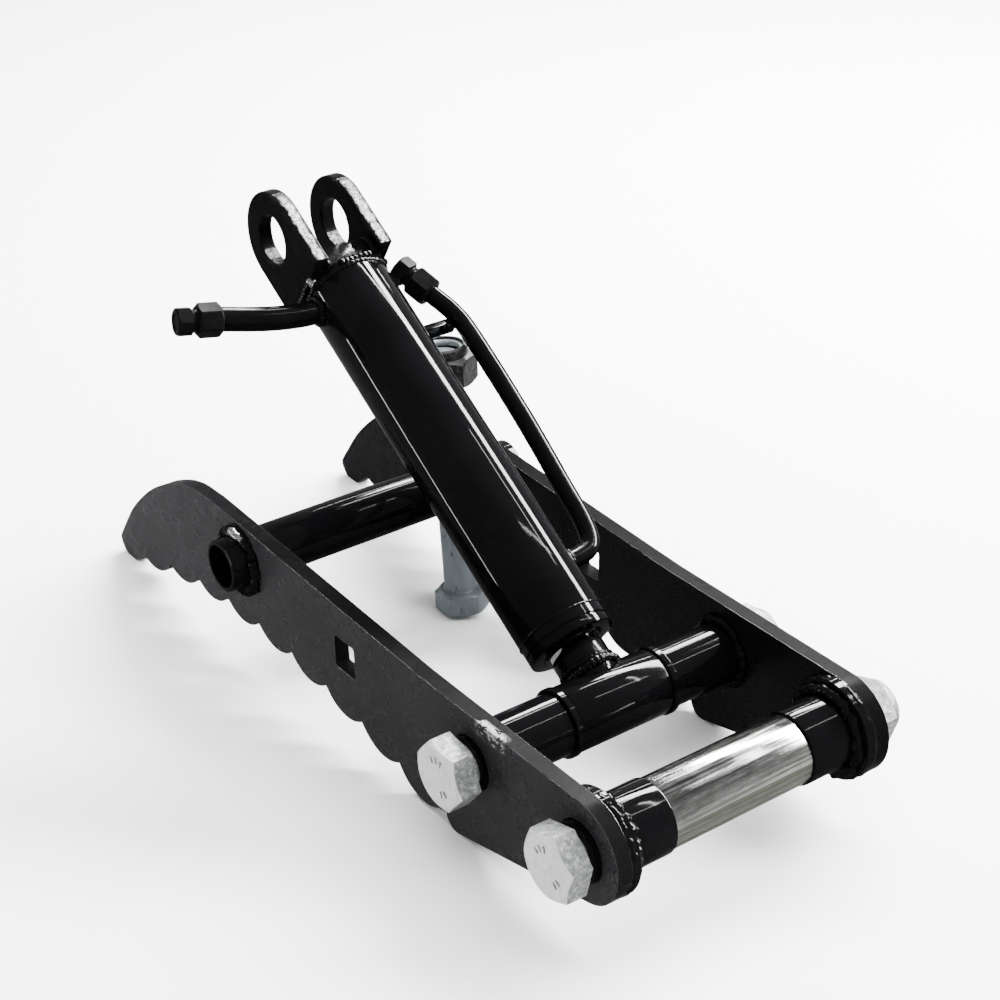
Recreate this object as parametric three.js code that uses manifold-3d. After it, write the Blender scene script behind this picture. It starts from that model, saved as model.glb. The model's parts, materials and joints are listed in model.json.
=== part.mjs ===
// Hydraulic thumb for a small excavator: two toothed side plates joined by a tip
// crossbar, a hydraulic cylinder swinging on the rod pin bolt, and the pivot bolt with
// its bare sleeve at the root end. A spare bolt stands on its head as a prop under the
// cylinder. Units are millimetres.
//
// Working frame: +X from the left to the right side plate, +Y from the root towards the
// tip, +Z up, with the rod pin on the X axis. The whole model is moved at the end, so
// that its origin is the middle of its bounding box at floor level.

import * as THREE from "three";
import { mergeVertices } from "three/addons/utils/BufferGeometryUtils.js";
import Module from "manifold-3d";

const wasm = await Module();
wasm.setup();

// ---------------------------------------------------------------- driving dimensions

const SEAM = 0.3; // gap between pieces that are welded, pressed or run on each other
const ROUND = 32; // facets of a turned piece
const FINE = 36; // facets of the barrel

const floorZ = -46; // the surface that the part stands on

const plate = { inner: 69, thickness: 8, rootRadius: 24.5, lobeRadius: 8, tipRadius: 9 };
const plateOuter = plate.inner + plate.thickness;

const pivot = { y: -77.5, z: 0 }; // the root bolt, level with the rod pin
const crossbar = { y: 196.5, z: 12.4, radius: 13.5, bore: 11.3, halfLength: 89 };
const squareHole = { y: 102, z: 2.5, side: 17, corner: 1.5 };
const lobe = { y: 13, z: floorZ + plate.lobeRadius };
const tipCorner = { y: 329, z: floorZ + plate.tipRadius };

const teeth = { first: 310, last: 27, count: 9, depth: 6.5 };
const sag = { y: 200, z: -19, tipRadius: 330, rootRadius: 690 };

const m20 = { flats: 30, shank: 10, headHeight: 12.5, nutHeight: 16, faceRadius: 14.3 };
const boltClearance = 0.4;
const headStandoff = 5.5; // bolt head to side plate
const nutStandoff = 3.5; // nut to side plate
const boltEnd = 99;

const pivotBoss = { radius: 17.5, inner: 38.8, collar: 5, spigot: 14, proud: 3 };
const rodBoss = { radius: 15, inner: 30.2, spigot: 13, proud: 2.5 };
const sleeve = { radius: 16.5, halfLength: 38.5 };

const eye = { radius: 16, halfLength: 26, bore: 12.6 };
const bush = { flangeRadius: 16.8, flange: 3.6, length: 18 };

const tilt = THREE.MathUtils.degToRad(33.1); // cylinder axis above the side plates
const barrel = { radius: 22, bore: 17.5, start: 41.3, end: 247 };
const gland = { start: 31, flangeEnd: 41, end: 64, groove: 1.2 };
const rod = { radius: 12.5, shoulder: 205, spigot: 8, end: 232 };
const piston = { start: 205.3, length: 18, radius: 17.2 };
const cap = { start: 244, end: 251, tongueEnd: 262, tongueHalf: 14, tongueDepth: 17 };
const ear = { inner: 14.3, thickness: 8, start: 251.3, hole: 12.5, radius: 24, centre: 285.5 };

const fitting = { bore: 3.2, nutFlats: 15, nutLength: 12, plugFlats: 13, plugLength: 8 };
const basePipeRadius = 6;
const rodPipeRadius = 4.8;
const bracket = { s: 212, thickness: 3, top: 1.5, bottom: -8.5, reach: 45 };

const prop = { x: 36.8, y: 168, lean: THREE.MathUtils.degToRad(4.5), length: 145 };
const propHead = { flats: 25, height: 12.5, faceRadius: 11.8 };
const propNut = { start: 129, hex: 15, collarRadius: 13, height: 20.4 };
const propShank = 9;

// ---------------------------------------------------------------- materials

const paint = new THREE.MeshStandardMaterial({ color: 0x0b0b0d, roughness: 0.22, metalness: 0.1 });
const satin = new THREE.MeshStandardMaterial({ color: 0x2c2c2f, roughness: 0.4, metalness: 0.1 });
const zinc = new THREE.MeshStandardMaterial({ color: 0xb9bfc0, roughness: 0.35, metalness: 0.9 });
const bare = new THREE.MeshStandardMaterial({ color: 0xc9c9c9, roughness: 0.25, metalness: 1 });
const chrome = new THREE.MeshStandardMaterial({ color: 0xdddddd, roughness: 0.08, metalness: 1 });
const castIron = new THREE.MeshStandardMaterial({ color: 0x55585a, roughness: 0.5, metalness: 0.9 });
const bronze = new THREE.MeshStandardMaterial({ color: 0xa8803c, roughness: 0.4, metalness: 0.9 });
const sealRubber = new THREE.MeshStandardMaterial({ color: 0x1c3a5c, roughness: 0.6 });
const nylon = new THREE.MeshStandardMaterial({ color: 0xd9dde0, roughness: 0.5 });

// ---------------------------------------------------------------- solids

// Turns a closed geometry into a solid that can be joined and cut.
function toSolid(geometry) {
  const bare3 = geometry.clone();
  bare3.deleteAttribute("normal");
  bare3.deleteAttribute("uv");
  const merged = mergeVertices(bare3, 1e-4);
  const vertProperties = Float32Array.from(merged.attributes.position.array);
  const triVerts = Uint32Array.from(merged.index.array);
  if (signedVolume(vertProperties, triVerts) < 0) {
    for (let i = 0; i < triVerts.length; i += 3) {
      [triVerts[i], triVerts[i + 1]] = [triVerts[i + 1], triVerts[i]];
    }
  }
  return new wasm.Manifold(new wasm.Mesh({ numProp: 3, vertProperties, triVerts }));
}

function signedVolume(points, triangles) {
  const [a, b, c] = [new THREE.Vector3(), new THREE.Vector3(), new THREE.Vector3()];
  let volume = 0;
  for (let i = 0; i < triangles.length; i += 3) {
    a.fromArray(points, 3 * triangles[i]);
    b.fromArray(points, 3 * triangles[i + 1]);
    c.fromArray(points, 3 * triangles[i + 2]);
    volume += a.dot(b.cross(c)) / 6;
  }
  return volume;
}

function toGeometry(solid) {
  const { vertProperties, triVerts } = solid.getMesh();
  const geometry = new THREE.BufferGeometry();
  geometry.setAttribute("position", new THREE.BufferAttribute(vertProperties, 3));
  geometry.setIndex(new THREE.BufferAttribute(triVerts, 1));
  geometry.computeVertexNormals();
  return geometry;
}

// A turned piece about the Y axis from [radius, y] corners. The outline closes on
// itself, or along the axis where it starts and ends at radius 0.
function turned(corners, facets = ROUND) {
  const points = corners.map(([radius, y]) => new THREE.Vector2(radius, y));
  if (corners[0][0] > 0) points.push(points[0].clone());
  return toSolid(new THREE.LatheGeometry(points, facets));
}

function ring(outer, inner, from, to, facets = ROUND) {
  return turned([[inner, from], [outer, from], [outer, to], [inner, to]], facets);
}

function rodBar(radius, from, to, facets = ROUND) {
  return turned([[0, from], [radius, from], [radius, to], [0, to]], facets);
}

function box(x0, x1, y0, y1, z0, z1) {
  const geometry = new THREE.BoxGeometry(x1 - x0, y1 - y0, z1 - z0);
  return toSolid(geometry.translate((x0 + x1) / 2, (y0 + y1) / 2, (z0 + z1) / 2));
}

// A hexagonal prism about the Y axis whose ends named in chamfers are turned down.
function hexagon(flats, from, to, faceRadius, chamfers) {
  const corner = flats / Math.sqrt(3);
  const drop = (corner + 0.2 - faceRadius) * Math.tan(Math.PI / 6);
  const prism = toSolid(new THREE.CylinderGeometry(corner, corner, to - from, 6)
    .translate(0, (from + to) / 2, 0));
  const low = chamfers.includes("low") ? [[faceRadius, from], [corner + 0.2, from + drop]]
    : [[corner + 0.2, from]];
  const high = chamfers.includes("high") ? [[corner + 0.2, to - drop], [faceRadius, to]]
    : [[corner + 0.2, to]];
  return prism.intersect(turned([[0, from], ...low, ...high, [0, to]]));
}

// A pipe along a smooth curve through the given points, solid where bore is 0.
function pipe(points, radius, bore, steps) {
  const path = new THREE.CatmullRomCurve3(points.map((p) => new THREE.Vector3(...p)));
  const section = new THREE.Shape().absarc(0, 0, radius, 0, 2 * Math.PI);
  if (bore > 0) section.holes.push(new THREE.Path().absarc(0, 0, bore, 0, 2 * Math.PI));
  return toSolid(new THREE.ExtrudeGeometry(section,
    { steps, curveSegments: 6, extrudePath: path, bevelEnabled: false }));
}

// Cuts an outline drawn in Y and Z out of sheet, from x0 to x1.
function sheet(shape, x0, x1) {
  const across = new THREE.Vector3(1, 0, 0);
  const along = new THREE.Vector3(0, 1, 0);
  const up = new THREE.Vector3(0, 0, 1);
  const geometry = new THREE.ExtrudeGeometry(shape,
    { depth: x1 - x0, curveSegments: 4, bevelEnabled: false });
  geometry.applyMatrix4(new THREE.Matrix4().makeBasis(along, up, across));
  return toSolid(geometry.translate(x0, 0, 0));
}

function circleHole(y, z, radius) {
  const hole = new THREE.Path();
  const quarter = Math.PI / 2;
  for (let i = 0; i < 4; i += 1) {
    hole.absarc(y, z, radius, i * quarter, (i + 1) * quarter);
  }
  return hole;
}

function turnToX(solid) {
  return solid.rotate([0, 0, -90]);
}

// ---------------------------------------------------------------- scene helpers

const model = new THREE.Group();
const cylinder = new THREE.Group(); // its +Y is the cylinder axis, away from the rod pin
cylinder.rotation.x = tilt;
model.add(cylinder);

function add(parent, name, solid, material) {
  const mesh = new THREE.Mesh(toGeometry(solid), material);
  mesh.name = name;
  parent.add(mesh);
  return mesh;
}

// ---------------------------------------------------------------- side plates

// Height of the notches between the teeth: two arcs that meet level at sag.y.
function notchHeight(y) {
  const radius = y > sag.y ? sag.tipRadius : sag.rootRadius;
  return sag.z - (y - sag.y) ** 2 / (2 * radius);
}

// One rounded tooth: an arc that hangs teeth.depth below the line between two notches.
function tooth(outline, from, to) {
  const chord = from.distanceTo(to);
  const radius = (chord ** 2 / 4 + teeth.depth ** 2) / (2 * teeth.depth);
  const middle = from.clone().add(to).divideScalar(2);
  const inward = new THREE.Vector2(from.y - to.y, to.x - from.x).divideScalar(-chord);
  const centre = middle.addScaledVector(inward, radius - teeth.depth);
  const start = from.clone().sub(centre).angle();
  const end = to.clone().sub(centre).angle();
  outline.absarc(centre.x, centre.y, radius, start, end, true);
}

function plateOutline() {
  const outline = new THREE.Shape();
  outline.moveTo(pivot.y, plate.rootRadius);
  outline.lineTo(40, 25.5);
  outline.lineTo(225, 34);
  outline.splineThru([[246, 32.5], [267, 25.5], [292, 11.5], [316, -9], [331, -27.5],
    [tipCorner.y + plate.tipRadius, tipCorner.z]].map((p) => new THREE.Vector2(...p)));
  outline.absarc(tipCorner.y, tipCorner.z, plate.tipRadius, 0, -Math.PI / 2, true);
  outline.lineTo(tipCorner.y - 7, floorZ);

  const pitch = (teeth.first - teeth.last) / teeth.count;
  const notches = Array.from({ length: teeth.count + 1 }, (_, i) => {
    const y = teeth.first - i * pitch;
    return new THREE.Vector2(y, notchHeight(y));
  });
  outline.lineTo(notches[0].x, notches[0].y);
  for (let i = 0; i < teeth.count; i += 1) tooth(outline, notches[i], notches[i + 1]);

  // From the lobe a straight edge runs on, tangent to the round root end.
  const run = new THREE.Vector2(pivot.y - lobe.y, pivot.z - lobe.z);
  const slope = Math.atan2(run.y, -run.x)
    - Math.asin((plate.rootRadius - plate.lobeRadius) / run.length());
  const tangent = -Math.PI / 2 - slope;
  outline.absarc(lobe.y, lobe.z, plate.lobeRadius, -0.2, tangent, true);
  outline.absarc(pivot.y, pivot.z, plate.rootRadius, tangent, -1.5 * Math.PI, true);
  return outline;
}

function squareHolePath() {
  const { y, z, side, corner } = squareHole;
  const inset = side / 2 - corner;
  const hole = new THREE.Path();
  for (let i = 0; i < 4; i += 1) {
    const turn = (i * Math.PI) / 2;
    const cy = y + inset * (i === 0 || i === 3 ? 1 : -1);
    const cz = z + inset * (i < 2 ? 1 : -1);
    hole.absarc(cy, cz, corner, turn, turn + Math.PI / 2);
  }
  return hole;
}

for (const [name, side] of [["left", -1], ["right", 1]]) {
  const outline = plateOutline();
  outline.holes.push(circleHole(pivot.y, pivot.z, pivotBoss.spigot + SEAM));
  outline.holes.push(circleHole(0, 0, rodBoss.spigot + SEAM));
  outline.holes.push(circleHole(crossbar.y, crossbar.z, crossbar.radius + SEAM));
  outline.holes.push(squareHolePath());
  const x0 = side < 0 ? -plateOuter : plate.inner;
  add(model, `side_plate_${name}`, sheet(outline, x0, x0 + plate.thickness), satin);
}

const crossbarTube = ring(crossbar.radius, crossbar.bore, -crossbar.halfLength,
  crossbar.halfLength);
add(model, "tip_crossbar", turnToX(crossbarTube), paint)
  .position.set(0, crossbar.y, crossbar.z);

// ---------------------------------------------------------------- bosses and sleeve

const boltBore = m20.shank + boltClearance;
const flangeFace = plate.inner - SEAM;

function pivotBossSolid() {
  return turned([
    [boltBore, pivotBoss.inner], [pivotBoss.radius, pivotBoss.inner],
    [pivotBoss.radius, plate.inner - pivotBoss.collar],
    [plate.rootRadius, plate.inner - pivotBoss.collar], [plate.rootRadius, flangeFace],
    [pivotBoss.spigot, flangeFace], [pivotBoss.spigot, plateOuter + pivotBoss.proud],
    [boltBore, plateOuter + pivotBoss.proud],
  ]);
}

function rodBossSolid() {
  return turned([
    [boltBore, rodBoss.inner], [rodBoss.radius, rodBoss.inner],
    [rodBoss.radius, flangeFace], [rodBoss.spigot, flangeFace],
    [rodBoss.spigot, plateOuter + rodBoss.proud], [boltBore, plateOuter + rodBoss.proud],
  ]);
}

for (const [name, side] of [["left", -1], ["right", 1]]) {
  const facing = [0, 0, side < 0 ? 90 : -90];
  add(model, `pivot_boss_${name}`, pivotBossSolid().rotate(facing), paint)
    .position.set(0, pivot.y, pivot.z);
  add(model, `rod_boss_${name}`, rodBossSolid().rotate(facing), paint);
}

const sleeveTube = ring(sleeve.radius, boltBore, -sleeve.halfLength, sleeve.halfLength);
add(model, "pivot_sleeve", turnToX(sleeveTube), bare).position.set(0, pivot.y, pivot.z);

// ---------------------------------------------------------------- pivot and rod pin bolts

// A bolt along Y with its head at the low end, its face at y = from.
function boltSolid(dims, from, shank, end) {
  const headEnd = from + dims.headHeight;
  const head = hexagon(dims.flats, from, headEnd, dims.faceRadius, ["low"]);
  const lead = 1.5;
  const stem = turned([[0, headEnd - 1], [shank, headEnd - 1], [shank, end - lead],
    [shank - lead, end], [0, end]]);
  return head.add(stem);
}

function nutSolid(dims, from, height) {
  const to = from + height;
  const body = hexagon(dims.flats, from, to, dims.faceRadius, ["low", "high"]);
  return body.subtract(rodBar(dims.shank + SEAM, from - 1, to + 1));
}

const headFace = -plateOuter - headStandoff - m20.headHeight;
const nutFace = plateOuter + nutStandoff;
const headTurns = { pivot: 15, rod_pin: 40 }; // how far each hexagon happens to be turned

for (const [name, y] of [["pivot", pivot.y], ["rod_pin", 0]]) {
  const bolt = boltSolid(m20, headFace, m20.shank, boltEnd);
  const nut = nutSolid(m20, nutFace, m20.nutHeight);
  const spin = [headTurns[name], 0, 0];
  add(model, `${name}_bolt`, turnToX(bolt).rotate(spin), zinc).position.set(0, y, 0);
  add(model, `${name}_nut`, turnToX(nut).rotate(spin), zinc).position.set(0, y, 0);
}

// ---------------------------------------------------------------- rod eye, rod and piston

const eyeTube = ring(eye.radius, eye.bore, -eye.halfLength, eye.halfLength);
add(cylinder, "rod_eye", turnToX(eyeTube), paint);

for (const [name, side] of [["left", -1], ["right", 1]]) {
  const flangeStart = eye.halfLength + SEAM;
  const bushSolid = turned([
    [boltBore, eye.halfLength - bush.length], [eye.bore - SEAM, eye.halfLength - bush.length],
    [eye.bore - SEAM, flangeStart], [bush.flangeRadius, flangeStart],
    [bush.flangeRadius, flangeStart + bush.flange], [boltBore, flangeStart + bush.flange],
  ]);
  add(cylinder, `rod_eye_bush_${name}`, bushSolid.rotate([0, 0, side < 0 ? 90 : -90]), bronze);
}

const thread = rodBar(rod.spigot, rod.shoulder - 1, rod.end);
const eyeClear = turnToX(rodBar(eye.radius + SEAM, -40, 40));
const rodSolid = rodBar(rod.radius, 5, rod.shoulder).add(thread).subtract(eyeClear);
add(cylinder, "piston_rod", rodSolid, chrome);

const pistonEnd = piston.start + piston.length;
const sealGroove = { from: piston.start + 3, to: piston.start + 8, depth: 3 };
const wearGroove = { from: piston.start + 10.5, to: piston.start + 16, depth: 2 };
const pistonOutline = [[rod.spigot + SEAM, piston.start], [piston.radius, piston.start]];
for (const groove of [sealGroove, wearGroove]) {
  pistonOutline.push([piston.radius, groove.from]);
  pistonOutline.push([piston.radius - groove.depth, groove.from]);
  pistonOutline.push([piston.radius - groove.depth, groove.to]);
  pistonOutline.push([piston.radius, groove.to]);
}
pistonOutline.push([piston.radius, pistonEnd], [rod.spigot + SEAM, pistonEnd]);
add(cylinder, "piston", turned(pistonOutline), castIron);

function grooveRing(name, groove, material) {
  const floor = piston.radius - groove.depth + 0.2;
  const solid = ring(piston.radius + 0.1, floor, groove.from + 0.2, groove.to - 0.2);
  add(cylinder, name, solid, material);
}
grooveRing("piston_seal", sealGroove, sealRubber);
grooveRing("piston_wear_ring", wearGroove, nylon);

const m16 = { flats: 24, shank: rod.spigot, faceRadius: 11.4 };
add(cylinder, "piston_nut", nutSolid(m16, pistonEnd + SEAM, 8), castIron);

// ---------------------------------------------------------------- gland

const rodClear = rod.radius + SEAM;
const wiperSeat = { depth: 2.6, to: gland.start + 4 };
const rodSealSeat = { from: gland.start + 12, to: gland.start + 18, depth: 2.6 };
const ringSeat = { from: gland.end - 9, to: gland.end - 6, depth: 2 };
const glandBody = barrel.bore - SEAM;
const waist = { from: gland.start + 4, to: gland.start + 6 };

add(cylinder, "gland", turned([
  [rodClear + wiperSeat.depth, gland.start], [barrel.radius - 0.6, gland.start],
  [barrel.radius - 0.6, waist.from], [barrel.radius - gland.groove - 0.6, waist.from],
  [barrel.radius - gland.groove - 0.6, waist.to], [barrel.radius - 0.6, waist.to],
  [barrel.radius - 0.6, gland.flangeEnd], [glandBody, gland.flangeEnd],
  [glandBody, ringSeat.from], [glandBody - ringSeat.depth, ringSeat.from],
  [glandBody - ringSeat.depth, ringSeat.to], [glandBody, ringSeat.to],
  [glandBody, gland.end], [rodClear, gland.end],
  [rodClear, rodSealSeat.to], [rodClear + rodSealSeat.depth, rodSealSeat.to],
  [rodClear + rodSealSeat.depth, rodSealSeat.from], [rodClear, rodSealSeat.from],
  [rodClear, wiperSeat.to], [rodClear + wiperSeat.depth, wiperSeat.to],
]), paint);

const lip = rodClear + wiperSeat.depth - 0.2;
add(cylinder, "rod_wiper", turned([
  [rodClear, gland.start - 1.2], [rodClear + 1.2, gland.start - 1.2], [lip, gland.start],
  [lip, wiperSeat.to - 0.2], [rodClear, wiperSeat.to - 0.2],
]), sealRubber);
add(cylinder, "rod_seal", ring(lip, rodClear, rodSealSeat.from + 0.2, rodSealSeat.to - 0.2),
  sealRubber);
add(cylinder, "gland_o_ring", ring(glandBody, glandBody - ringSeat.depth + 0.2,
  ringSeat.from + 0.2, ringSeat.to - 0.2), sealRubber);

// ---------------------------------------------------------------- barrel, cap and ears

const basePort = { s: 239, side: -1 };
const rodPort = { s: 70, side: 1 };
let tube = ring(barrel.radius, barrel.bore, barrel.start, barrel.end, FINE);
for (const port of [basePort, rodPort]) {
  const drill = rodBar(fitting.bore, 10, 30, 16).rotate([0, 0, port.side < 0 ? 90 : -90]);
  tube = tube.subtract(drill.translate([0, port.s, 0]));
}
add(cylinder, "barrel_tube", tube, paint);

const capDisc = turned([[0, cap.start], [barrel.bore - SEAM, cap.start],
  [barrel.bore - SEAM, barrel.end + SEAM], [barrel.radius, barrel.end + SEAM],
  [barrel.radius, cap.end], [0, cap.end]], FINE);
const tongue = box(-cap.tongueHalf, cap.tongueHalf, cap.end - 2, cap.tongueEnd,
  -cap.tongueDepth, cap.tongueDepth);
add(cylinder, "base_cap", capDisc.add(tongue), paint);

function earOutline() {
  const outline = new THREE.Shape();
  outline.moveTo(ear.start, -ear.radius);
  outline.lineTo(ear.centre, -ear.radius);
  outline.absarc(ear.centre, 0, ear.radius, -Math.PI / 2, 0);
  outline.absarc(ear.centre, 0, ear.radius, 0, Math.PI / 2);
  outline.lineTo(ear.start, ear.radius);
  outline.holes.push(circleHole(ear.centre, 0, ear.hole));
  return outline;
}

for (const [name, side] of [["left", -1], ["right", 1]]) {
  const x0 = side < 0 ? -ear.inner - ear.thickness : ear.inner;
  add(cylinder, `clevis_ear_${name}`, sheet(earOutline(), x0, x0 + ear.thickness), paint);
}

// ---------------------------------------------------------------- port pipes

const barrelClear = rodBar(barrel.radius + SEAM, 0, 260, FINE);

// Places a piece made along +Y so that it starts at a point and runs in a direction.
function aim(mesh, start, direction) {
  const dir = new THREE.Vector3(...direction).normalize();
  mesh.position.set(...start);
  mesh.quaternion.setFromUnitVectors(new THREE.Vector3(0, 1, 0), dir);
}

// The pipe end carries a hexagon nut, and a hexagon plug closes it.
function addPort(name, points, radius, steps) {
  const solid = pipe(points, radius, fitting.bore, steps).subtract(barrelClear);
  add(cylinder, `${name}_pipe`, solid, paint);
  const end = points[points.length - 1];
  const before = points[points.length - 2];
  const direction = end.map((value, i) => value - before[i]);
  const nutDims = { flats: fitting.nutFlats, shank: radius, faceRadius: 7.2 };
  const nut = nutSolid(nutDims, -fitting.nutLength - 1, fitting.nutLength);
  aim(add(cylinder, `${name}_nut`, nut, paint), end, direction);
  const head = hexagon(fitting.plugFlats, SEAM + 1, SEAM + 1 + fitting.plugLength, 6.2,
    ["low", "high"]);
  const plug = head.add(rodBar(5.4, SEAM, SEAM + 2, 24));
  aim(add(cylinder, `${name}_plug`, plug, paint), end, direction);
}

addPort("base_port", [[-19, basePort.s, 0], [-30, basePort.s + 0.5, 0], [-44, 242, 0],
  [-58, 246, 0], [-70, 250, 0], [-82.5, 253, 0]], basePipeRadius, 16);
const rodPipeSteps = 26;
const rodPipePath = [[19, rodPort.s, 1], [29, rodPort.s + 0.5, 1], [38, 74, 1], [42, 86, 1],
  [43.5, 108, 1], [46, 150, 1], [46.8, 200, 1], [45, 216, 1], [40.5, 228, 1], [35, 242, 1]];
addPort("rod_port", rodPipePath, rodPipeRadius, rodPipeSteps);

// A flat bar on edge ties the long pipe to the barrel.
const pipeClear = pipe(rodPipePath, rodPipeRadius + SEAM, 0, rodPipeSteps);
const barSolid = box(15, bracket.reach, bracket.s - bracket.thickness / 2,
  bracket.s + bracket.thickness / 2, bracket.bottom, bracket.top);
add(cylinder, "pipe_bracket", barSolid.subtract(barrelClear).subtract(pipeClear), paint);

// ---------------------------------------------------------------- prop bolt

// The spare bolt stands on the far edge of its head and leans towards the tip.
const standing = new THREE.Group();
const propDims = { ...propHead, headHeight: propHead.height };
const heel = propHead.flats / Math.sqrt(3);
standing.rotation.x = Math.PI / 2 - prop.lean;
standing.position.set(prop.x, prop.y, floorZ + heel * Math.sin(prop.lean));
model.add(standing);

const propBolt = boltSolid(propDims, 0, propShank, prop.length);
add(standing, "prop_bolt", propBolt, zinc);

const collarTop = propNut.start + propNut.height;
const collarStart = propNut.start + propNut.hex;
const propBore = propShank + SEAM;
const insertSeat = { radius: 11, from: collarStart + 0.8, to: collarTop - 1.2 };
const collar = turned([[propBore, collarStart - 1], [propNut.collarRadius, collarStart - 1],
  [propNut.collarRadius, collarTop - 1.4], [propNut.collarRadius - 1, collarTop],
  [insertSeat.radius - 0.8, collarTop], [insertSeat.radius - 0.8, insertSeat.to],
  [insertSeat.radius, insertSeat.to], [insertSeat.radius, insertSeat.from],
  [propBore, insertSeat.from]]);
const nutDims = { flats: m20.flats, shank: propShank, faceRadius: m20.faceRadius };
add(standing, "prop_nut", nutSolid(nutDims, propNut.start, propNut.hex).add(collar), zinc);
add(standing, "prop_nut_insert", ring(insertSeat.radius - 0.2, propBore - 0.1,
  insertSeat.from + 0.2, insertSeat.to - 0.2), nylon);

// ---------------------------------------------------------------- origin

// The bounding box: bolt heads to bolt ends, root to tip, floor upwards.
const middleX = (headFace + boltEnd) / 2;
const middleY = (pivot.y - plate.rootRadius + tipCorner.y + plate.tipRadius) / 2;
model.position.set(-middleX, -middleY, -floorZ);

const thumb = new THREE.Group();
thumb.add(model);
export default thumb;
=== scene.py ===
"""Looks of the hydraulic thumb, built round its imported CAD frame.

Lengths in the text below are millimetres in the thumb's own frame: x from the middle of
the two side plates, y and z from the rod pin. P() turns them into row-frame metres, and
K() does the same for (x, s, h): s along the cylinder, h square to it and upwards. The
looks, the lights and the floor are in metres.
"""
import bpy
import bmesh
import json
import math
from mathutils import Matrix, Vector, noise


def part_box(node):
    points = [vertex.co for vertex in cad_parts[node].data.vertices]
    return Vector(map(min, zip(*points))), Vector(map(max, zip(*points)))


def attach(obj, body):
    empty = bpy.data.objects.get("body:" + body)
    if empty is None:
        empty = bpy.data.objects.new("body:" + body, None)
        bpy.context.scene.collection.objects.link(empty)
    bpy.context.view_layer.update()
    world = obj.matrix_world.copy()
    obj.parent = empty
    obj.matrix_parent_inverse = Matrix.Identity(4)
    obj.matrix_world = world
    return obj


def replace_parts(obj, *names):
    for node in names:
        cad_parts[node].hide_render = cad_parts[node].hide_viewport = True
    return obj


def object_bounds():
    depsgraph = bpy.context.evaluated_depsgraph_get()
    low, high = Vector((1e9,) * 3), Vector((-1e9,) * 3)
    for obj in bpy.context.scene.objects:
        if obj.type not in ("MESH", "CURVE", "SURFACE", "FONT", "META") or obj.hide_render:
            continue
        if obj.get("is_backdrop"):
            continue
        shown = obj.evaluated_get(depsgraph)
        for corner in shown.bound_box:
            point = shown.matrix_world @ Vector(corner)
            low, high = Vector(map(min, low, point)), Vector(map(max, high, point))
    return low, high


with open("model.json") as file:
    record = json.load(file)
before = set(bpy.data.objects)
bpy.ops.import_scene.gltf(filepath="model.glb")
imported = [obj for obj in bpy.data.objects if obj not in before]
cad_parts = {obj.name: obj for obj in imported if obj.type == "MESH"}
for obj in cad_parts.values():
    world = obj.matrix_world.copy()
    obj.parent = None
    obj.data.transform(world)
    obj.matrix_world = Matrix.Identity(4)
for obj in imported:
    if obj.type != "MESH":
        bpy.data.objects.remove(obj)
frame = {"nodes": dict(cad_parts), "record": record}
cad_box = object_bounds()
nodes = frame["nodes"]

# ---------------------------------------------------------------- axes and marks

joints = {j["name"]: j for j in frame["record"]["behaviour"]["joints"]}
X = Vector((1, 0, 0))
Y = Vector((0, 1, 0))
Z = Vector((0, 0, 1))
AX = Vector(joints["cylinder_stroke"]["axis"]).normalized()
UP = X.cross(AX)
middle_x = (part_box("side_plate_left")[0][0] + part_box("side_plate_right")[1][0]) / 2
pin = joints["cylinder_swing"]["pos_m"]
ORIGIN = Vector((middle_x, pin[1], pin[2]))
PIVOT_Y = (joints["pivot_turn"]["pos_m"][1] - pin[1]) * 1000
PLATE_OUT = (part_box("side_plate_right")[1][0] - middle_x) * 1000
PLATE_IN = (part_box("side_plate_right")[0][0] - middle_x) * 1000
FLOOR = -pin[2] * 1000
SIDES = ((-1, "left"), (1, "right"))


def P(x, y, z):
    return ORIGIN + Vector((x, y, z)) / 1000


def K(x, s, h):
    return ORIGIN + (X * x + AX * s + UP * h) / 1000


# ---------------------------------------------------------------- materials

def shade(colour, factor):
    return tuple(c * factor for c in colour)


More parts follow.
